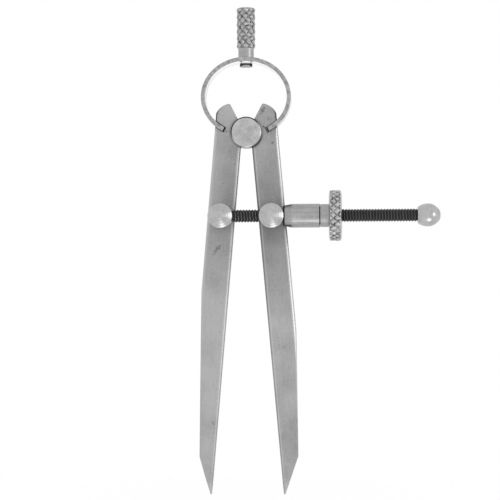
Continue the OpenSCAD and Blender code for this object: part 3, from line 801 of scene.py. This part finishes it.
def screw_finish(name):
    """Blacked steel: near black in the root of the thread, rubbed lighter on its crests, and
    bare in spots between the posts."""
    material, nodes, place = new_finish(name)
    crest = nodes.node("ShaderNodeAttribute", {"attribute_name": "crest"}, output="Fac")
    cloud = nodes.noise(place, 1.1 * mm, 4.0)
    aside = nodes.node("ShaderNodeSeparateXYZ", None, {0: place}, output="X")
    turns = nodes.noise(aside, 0.8 * mm, 1.0, "1D")
    fine = nodes.noise(place, 0.3 * mm, 2.0)
    rub = crest.step(0.55, 1.0) * (0.15 + cloud * 0.5 + (turns - 0.3) * 0.9)
    colour = rub.blend(grey(0.045), grey(0.095))
    bare = crest.step(0.7, 1.0) * (1.0 - aside.step(2.0 * mm, 5.0 * mm)) * fine.step(0.46, 0.66)
    colour = (bare * 0.6).blend(colour, grey(0.3))
    steel_surface(nodes, colour, 0.5 - rub * 0.08 + (cloud - 0.5) * 0.1, cloud, 0.006)
    return material


screw.data.materials.append(screw_finish("blacked_finish"))
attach(screw, "left_swivel")
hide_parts("adjusting_screw")

# Ball. A turned steel ball, drilled and fixed on the free end of the screw, so that the nut
# can't run off. Its face towards the nut is flat and its far end is rounded off.
ball_r, ball_length, ball_widest, crown_r, crown_cut = 3.15, 6.2, 2.75, 4.6, 0.75
ball_bore, bore_bevel = screw_in_ball + fit_gap, 0.15
ball_cone = [(4.35, 2.9), (5.9, 1.6), (6.2, 0.75)]
bore_r = screw_end_r + fit_gap
crown_along = np.linspace(0, ball_cone[0][0], 24)
crown_out = ball_r - crown_r + np.sqrt(crown_r ** 2 - (crown_along - ball_widest) ** 2)
crown = np.stack([crown_along, crown_out], axis=1)[crown_along < ball_cone[0][0] - crown_cut]
cone = eased([crown[-1], *ball_cone, (ball_length, 0)], [0.72, 0.5, 0.3], 9)[1:]
ball_profile = np.concatenate([
    [(ball_bore, 0), (ball_bore, bore_r), (bore_bevel, bore_r), (0, bore_r + bore_bevel)], crown, cone])
ball_place = screw_line + (thread_end, 0, 0)
ball = lathe_piece("stop_ball_turned", ball_profile, ball_place, (1, 0, 0))
ball.data.materials.append(turned_finish("ball_finish", ball_place, (1.0, 0.0, 0.0), 0.45, 0.24, 0.003))
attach(ball, "left_swivel")
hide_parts("stop_ball")

# Sleeve. A plain turned tube between the right post and the nut, with a tapered nose that
# seats on the post. The nut's spigot turns inside it.
sleeve_r, sleeve_length, nose_length, spigot_r, spigot_length, nut_gap = 3.25, 10.0, 2.4, 2.5, 6.0, 0.2
sleeve_left = right_x + seat
sleeve_right = sleeve_left + sleeve_length
sleeve_bore, spigot_bore = screw_r + run_gap, spigot_r + run_gap
spigot_end = sleeve_right - spigot_length + nut_gap - run_gap
sleeve_profile = eased([
    (sleeve_left, sleeve_bore), (sleeve_left, nose_r), (sleeve_left + nose_length, sleeve_r),
    (sleeve_right, sleeve_r), (sleeve_right, spigot_bore), (spigot_end, spigot_bore),
    (spigot_end, sleeve_bore), (sleeve_left, sleeve_bore),
], [0.14, 0.16, 0.08, 0.05, 0, 0])
sleeve = lathe_piece("turned_sleeve", sleeve_profile, screw_line, (1, 0, 0))


def shaded_nose(nodes, off, along, across):
    """Painted shade where the sleeve's nose meets the post, above and below on its taper, and on
    the rim beside the nut, in the gap."""
    nose = sleeve_left - right_x
    height = nodes.node("ShaderNodeSeparateXYZ", None, {0: off}, output="Z")
    aside = height.math("ABSOLUTE", height).step(2.35 * mm, 2.75 * mm)
    taper = 1.0 - along.step((nose + nose_length - 0.2) * mm, (nose + nose_length) * mm)
    foot = 1.0 - along.step((nose + 0.42) * mm, (nose + 0.55) * mm)
    rim = along.step((nose + sleeve_length - 0.17) * mm, (nose + sleeve_length - 0.13) * mm)
    return foot.math("MAXIMUM", foot + rim, taper * (0.07 + aside * 0.63))


sleeve.data.materials.append(
    turned_finish("sleeve_finish", screw_axis, (1.0, 0.0, 0.0), 0.36, 0.38, 0.006, 1.3, 2.0, shaded_nose))
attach(sleeve, "right_swivel")
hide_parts("nut_sleeve")

# Adjusting nut. A steel wheel with a diamond knurl, a hub beside it and a spigot that turns in
# the sleeve, all turned in one piece. Turning it on the screw sets the legs.
hub_r, hub_length, wheel_r, wheel_width = 3.15, 2.25, 7.0, 3.6
collar_r, collar_length, nut_bore_bevel = 3.0, 0.12, 0.35
rim_length, rim_fall, wheel_plain = 0.6, 2.0, 0.3
wheel_around, wheel_pitch, wheel_cut = 22, 2.17, 0.42
nut_left = sleeve_right + nut_gap
wheel_left = nut_left + hub_length
wheel_right = wheel_left + wheel_width
spigot_left = nut_left - spigot_length
nut_before = eased([
    (spigot_left, sleeve_bore), (spigot_left, spigot_r), (nut_left - collar_length, spigot_r),
    (nut_left - collar_length, collar_r), (nut_left, collar_r), (nut_left, hub_r),
    (wheel_left, hub_r), (wheel_left, wheel_r - rim_fall - rim_land),
], [0.15, 0, 0, 0, 0.06, 0.12])


def shaded_spigot(nodes, off, along, across):
    """Painted shade on the spigot and the collar, up to the hub's rim, in the gap beside the sleeve."""
    return 1.0 - along.step((nut_left - right_x - 0.06) * mm, (nut_left - right_x - 0.03) * mm)


nut_after = np.array([
    (wheel_right, wheel_r - rim_fall - rim_land), (wheel_right, sleeve_bore + nut_bore_bevel),
    (wheel_right - nut_bore_bevel, sleeve_bore), (spigot_left, sleeve_bore),
])
wheel_rim = (rim_length, rim_fall)
wheel_band = knurled_band(wheel_left, wheel_right, wheel_r, wheel_rim, wheel_rim, wheel_around,
                          wheel_pitch, groove_share, wheel_cut, wheel_plain)
wheel_steps = wheel_around * knurl_steps
along, radius, groove = with_rows(nut_before, wheel_band, nut_after, wheel_steps)
grid = turned(along, radius, screw_line, (1, 0, 0), wheel_steps)
nut = steel_piece("knurled_nut", grid, ring_faces(grid), {"groove": groove})
# The spigot and collar are painted near white, and painted shade covers most of it in the gap.
nut.data.materials.append(
    knurled_finish("nut_finish", screw_axis, (1.0, 0.0, 0.0), hub_r + 0.2,
                   (spigot_left - right_x, nut_left - right_x), 0.49, shaded_spigot))
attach(nut, "nut")
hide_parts("adjusting_nut")

# Studio. A pale floor just under the points in a white room, with one soft lamp at the right and
# one low in front. Both lamps are far away, and the floor lets the low one through.
floor_drop, floor_half, stray_light = 0.3, 1500.0, 0.76
floor_z = cad_box[0][2] / mm - floor_drop
floor_mesh = bpy.data.meshes.new("floor")
floor_mesh.from_pydata([(x * floor_half * mm, y * floor_half * mm, floor_z * mm)
                        for x, y in ((-1, -1), (1, -1), (1, 1), (-1, 1))], [], [(0, 1, 2, 3)])
floor = bpy.data.objects.new("floor", floor_mesh)
floor.visible_shadow = floor.visible_glossy = False
bpy.context.scene.collection.objects.link(floor)
floor_finish, nodes, place = new_finish("floor_finish")


def seen_directly(nodes):
    """1 for rays from the camera and for what gloss and glass show, 0 for stray light."""
    path = [nodes.node("ShaderNodeLightPath", output=ray)
            for ray in ("Is Camera Ray", "Is Glossy Ray", "Is Transmission Ray")]
    return path[0].math("MINIMUM", path[0] + path[1] + path[2], 1.0)


paper = nodes.noise(place, 60 * mm, 2.0).blend(grey(0.93), grey(0.96))
away = nodes.vector("LENGTH", nodes.vector("MULTIPLY", place, (1.0, 1.0, 0.0)), output="Value")
matt = nodes.node("ShaderNodeBsdfDiffuse", None, {"Color": paper})
white = nodes.node("ShaderNodeEmission", None, {"Color": (1.0, 1.0, 1.0, 1.0), "Strength": 1.0})
white_share = seen_directly(nodes) * (0.97 + away.step(20 * mm, 90 * mm) * 0.03)
shown = nodes.node("ShaderNodeMixShader", None, {0: white_share, 1: matt, 2: white})
nodes.node("ShaderNodeOutputMaterial", None, {"Surface": shown})
floor.data.materials.append(floor_finish)

room = bpy.data.worlds.new("white_room")
room.use_nodes = True
room.cycles.sampling_method = "NONE"
room.node_tree.nodes.clear()
bpy.context.scene.world = room
nodes = Value(room.node_tree)
level = stray_light + seen_directly(nodes) * (1.0 - stray_light)
light = nodes.node("ShaderNodeBackground", None, {"Color": (1.0, 1.0, 1.0, 1.0), "Strength": level})
nodes.node("ShaderNodeOutputWorld", None, {"Surface": light})


def soft_lamp(name, towards, half_angle, level):
    """A far round lamp, seen under twice the half angle in degrees. Its strength is
    level * pi * tan(half angle)^2, so that it looks `level` times as bright as white paper."""
    lamp = bpy.data.lights.new(name, "SUN")
    lamp.angle = np.radians(2 * half_angle)
    lamp.energy = level * np.pi * np.tan(np.radians(half_angle)) ** 2
    holder = bpy.data.objects.new(name, lamp)
    holder.rotation_euler = Vector(towards).to_track_quat("Z", "Y").to_euler()
    bpy.context.scene.collection.objects.link(holder)


lamp_half_angle, lamp_level = 13.5, 1.8
for name, towards in (("right_lamp", (0.84, -0.54, 0.06)), ("low_lamp", (0.15, -0.6, -0.79))):
    soft_lamp(name, towards, lamp_half_angle, lamp_level)

# Camera. It stands in front of the divider, a little to its right and below its middle, and looks
# slightly up and to the left.
camera_place, camera_aim = Vector((22.85, -500.0, -72.34)), Vector((0.845, 0.0, -61.332))
camera_roll = np.radians(-0.25)
camera = bpy.data.objects.new("camera", bpy.data.cameras.new("camera"))
camera.data.sensor_width, camera.data.lens = 36.0, 130.7
camera.data.clip_start, camera.data.clip_end = 0.01, 20.0
camera.location = camera_place * mm
level_view = (camera_aim - camera_place).to_track_quat("-Z", "Y")
camera.rotation_euler = (level_view @ Quaternion((0, 0, 1), camera_roll)).to_euler()
bpy.context.scene.collection.objects.link(camera)
bpy.context.scene.camera = camera
bpy.context.scene.view_settings.view_transform = "Standard"
